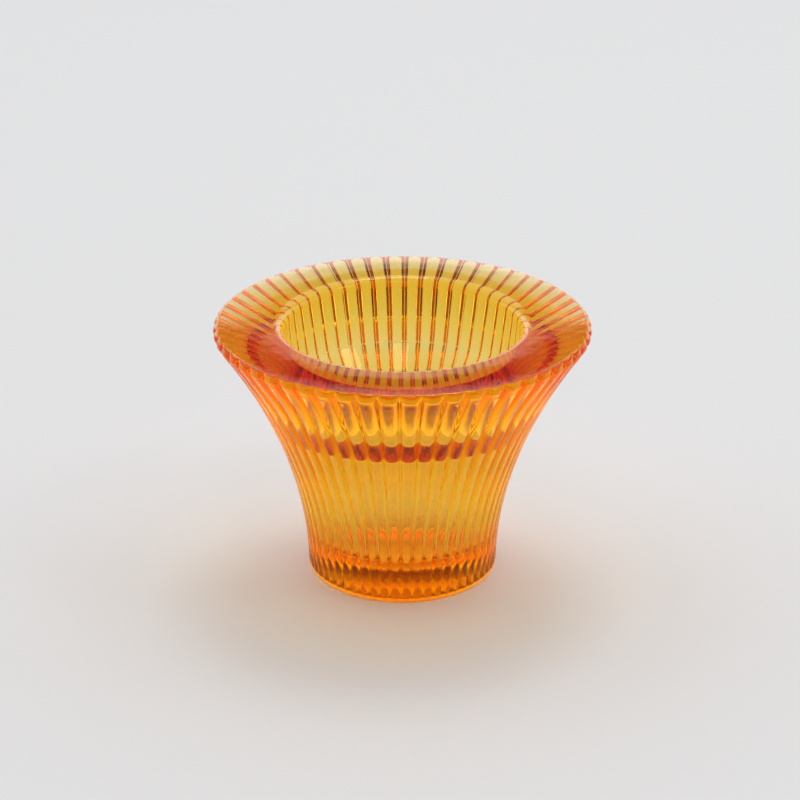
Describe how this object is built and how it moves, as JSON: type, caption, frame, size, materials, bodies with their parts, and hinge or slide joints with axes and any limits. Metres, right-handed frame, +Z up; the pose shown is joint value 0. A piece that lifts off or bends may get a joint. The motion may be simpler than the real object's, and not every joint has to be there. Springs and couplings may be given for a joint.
{
  "type": "tealight holder",
  "caption": "One-piece pressed glass tealight holder: a reeded trumpet-shaped body with a flat rim, a cup with a sloping seat for the tealight, and a well below it.",
  "frame": {"origin": "centre of the resting face, at the bottom of the foot", "axes": "+Z up along the axis of the body; the body is round, so X and Y only fix where the reeds start"},
  "size_m": [0.0748, 0.0748, 0.0526],
  "materials": {
    "amber_glass": "clear, fire-polished"
  },
  "bodies": {
    "root": {"glass_body": "amber_glass"}
  },
  "joints": []
}
